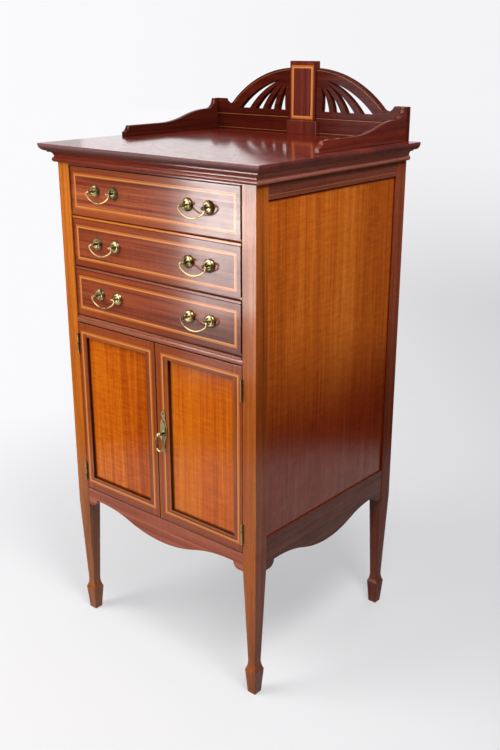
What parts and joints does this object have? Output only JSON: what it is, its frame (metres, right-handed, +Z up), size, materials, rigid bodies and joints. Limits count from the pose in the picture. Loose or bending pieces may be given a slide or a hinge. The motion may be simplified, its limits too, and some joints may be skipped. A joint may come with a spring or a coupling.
{
  "type": "music cabinet",
  "caption": "Tall narrow inlaid wooden music cabinet on tapered legs with spade feet: fall-front music drawers over a cupboard with panelled doors, under a top with a pierced fan gallery.",
  "frame": {"origin": "on the floor under the middle of the top board", "axes": "+Z up, +Y from the front to the back, +X to the right as seen from the front"},
  "size_m": [0.53, 0.47, 1.126],
  "materials": {
    "post_wood": "French polished",
    "panel_wood": "French polished",
    "dark_wood": "French polished",
    "drawer_wood": "French polished",
    "inner_wood": "plain planed",
    "brass": "aged, unlacquered"
  },
  "bodies": {
    "cabinet": {"leg_front_left": "post_wood", "leg_front_right": "post_wood", "leg_back_left": "post_wood", "leg_back_right": "post_wood", "side_panel_left": "panel_wood", "side_panel_right": "panel_wood", "side_rails": "dark_wood", "side_aprons": "dark_wood", "front_apron": "dark_wood", "front_top_rail": "post_wood", "cupboard_rail": "post_wood", "back_panel": "inner_wood", "back_rails": "inner_wood", "drawer_runners": "inner_wood", "dust_board": "inner_wood", "cupboard_floor": "inner_wood", "top_board": "dark_wood", "cornice_front": "dark_wood", "cornice_returns": "dark_wood", "gallery_fans": "dark_wood", "gallery_sides": "dark_wood", "gallery_tablet": "dark_wood", "hinge_frame_leaves": "brass", "hinge_pins": "brass"},
    "left_door": {"left_door_stiles": "dark_wood", "left_door_rails": "dark_wood", "left_door_panel": "panel_wood", "left_hinge_leaves": "brass", "bolt_bracket": "brass"},
    "door_bolt": {"left_door_bolt": "brass"},
    "right_door": {"right_door_stiles": "dark_wood", "right_door_rails": "dark_wood", "right_door_panel": "panel_wood", "right_door_bead": "dark_wood", "right_hinge_leaves": "brass", "handle_plate": "brass"},
    "latch": {"handle_spindle": "brass", "latch_cam": "brass"},
    "ring": {"handle_ring": "brass"},
    "lower_drawer": {"lower_drawer_base": "inner_wood", "lower_drawer_walls": "inner_wood", "lower_drawer_pivots": "brass"},
    "lower_flap": {"lower_drawer_front": "drawer_wood", "lower_drawer_roses": "brass"},
    "lower_bail_left": {"lower_drawer_bail_left": "brass"},
    "lower_bail_right": {"lower_drawer_bail_right": "brass"},
    "middle_drawer": {"middle_drawer_base": "inner_wood", "middle_drawer_walls": "inner_wood", "middle_drawer_pivots": "brass"},
    "middle_flap": {"middle_drawer_front": "drawer_wood", "middle_drawer_roses": "brass"},
    "middle_bail_left": {"middle_drawer_bail_left": "brass"},
    "middle_bail_right": {"middle_drawer_bail_right": "brass"},
    "upper_drawer": {"upper_drawer_base": "inner_wood", "upper_drawer_walls": "inner_wood", "upper_drawer_pivots": "brass"},
    "upper_flap": {"upper_drawer_front": "drawer_wood", "upper_drawer_roses": "brass"},
    "upper_bail_left": {"upper_drawer_bail_left": "brass"},
    "upper_bail_right": {"upper_drawer_bail_right": "brass"}
  },
  "joints": [
    {"name": "left_door_hinge", "type": "hinge", "parent": "cabinet", "child": "left_door", "pos_m": [-0.2095, -0.2126, 0.4725], "axis": [0, 0, -1], "range_deg": [0, 165]},
    {"name": "right_door_hinge", "type": "hinge", "parent": "cabinet", "child": "right_door", "pos_m": [0.2095, -0.2126, 0.4725], "axis": [0, 0, 1], "range_deg": [0, 165]},
    {"name": "door_bolt_slide", "type": "slide", "parent": "left_door", "child": "door_bolt", "axis": [0, 0, 1], "range_m": [0, 0.008]},
    {"name": "latch_turn", "type": "hinge", "parent": "right_door", "child": "latch", "pos_m": [0.0188, -0.2235, 0.478], "axis": [0, 1, 0], "range_deg": [0, 90]},
    {"name": "ring_swing", "type": "hinge", "parent": "latch", "child": "ring", "pos_m": [0.0188, -0.2235, 0.4764], "axis": [-1, 0, 0], "range_deg": [-17, 85]},
    {"name": "lower_drawer_slide", "type": "slide", "parent": "cabinet", "child": "lower_drawer", "axis": [0, -1, 0], "range_m": [0, 0.28]},
    {"name": "lower_flap_hinge", "type": "hinge", "parent": "lower_drawer", "child": "lower_flap", "pos_m": [0, -0.2065, 0.6685], "axis": [1, 0, 0], "range_deg": [0, 90]},
    {"name": "lower_bail_left_swing", "type": "hinge", "parent": "lower_flap", "child": "lower_bail_left", "pos_m": [-0.115, -0.2255, 0.715], "axis": [-1, 0, 0], "range_deg": [0, 70]},
    {"name": "lower_bail_right_swing", "type": "hinge", "parent": "lower_flap", "child": "lower_bail_right", "pos_m": [0.115, -0.2255, 0.715], "axis": [-1, 0, 0], "range_deg": [0, 70]},
    {"name": "middle_drawer_slide", "type": "slide", "parent": "cabinet", "child": "middle_drawer", "axis": [0, -1, 0], "range_m": [0, 0.28]},
    {"name": "middle_flap_hinge", "type": "hinge", "parent": "middle_drawer", "child": "middle_flap", "pos_m": [0, -0.2065, 0.7645], "axis": [1, 0, 0], "range_deg": [0, 90]},
    {"name": "middle_bail_left_swing", "type": "hinge", "parent": "middle_flap", "child": "middle_bail_left", "pos_m": [-0.115, -0.2255, 0.811], "axis": [-1, 0, 0], "range_deg": [0, 70]},
    {"name": "middle_bail_right_swing", "type": "hinge", "parent": "middle_flap", "child": "middle_bail_right", "pos_m": [0.115, -0.2255, 0.811], "axis": [-1, 0, 0], "range_deg": [0, 70]},
    {"name": "upper_drawer_slide", "type": "slide", "parent": "cabinet", "child": "upper_drawer", "axis": [0, -1, 0], "range_m": [0, 0.28]},
    {"name": "upper_flap_hinge", "type": "hinge", "parent": "upper_drawer", "child": "upper_flap", "pos_m": [0, -0.2065, 0.8605], "axis": [1, 0, 0], "range_deg": [0, 90]},
    {"name": "upper_bail_left_swing", "type": "hinge", "parent": "upper_flap", "child": "upper_bail_left", "pos_m": [-0.115, -0.2255, 0.907], "axis": [-1, 0, 0], "range_deg": [0, 70]},
    {"name": "upper_bail_right_swing", "type": "hinge", "parent": "upper_flap", "child": "upper_bail_right", "pos_m": [0.115, -0.2255, 0.907], "axis": [-1, 0, 0], "range_deg": [0, 70]}
  ]
}
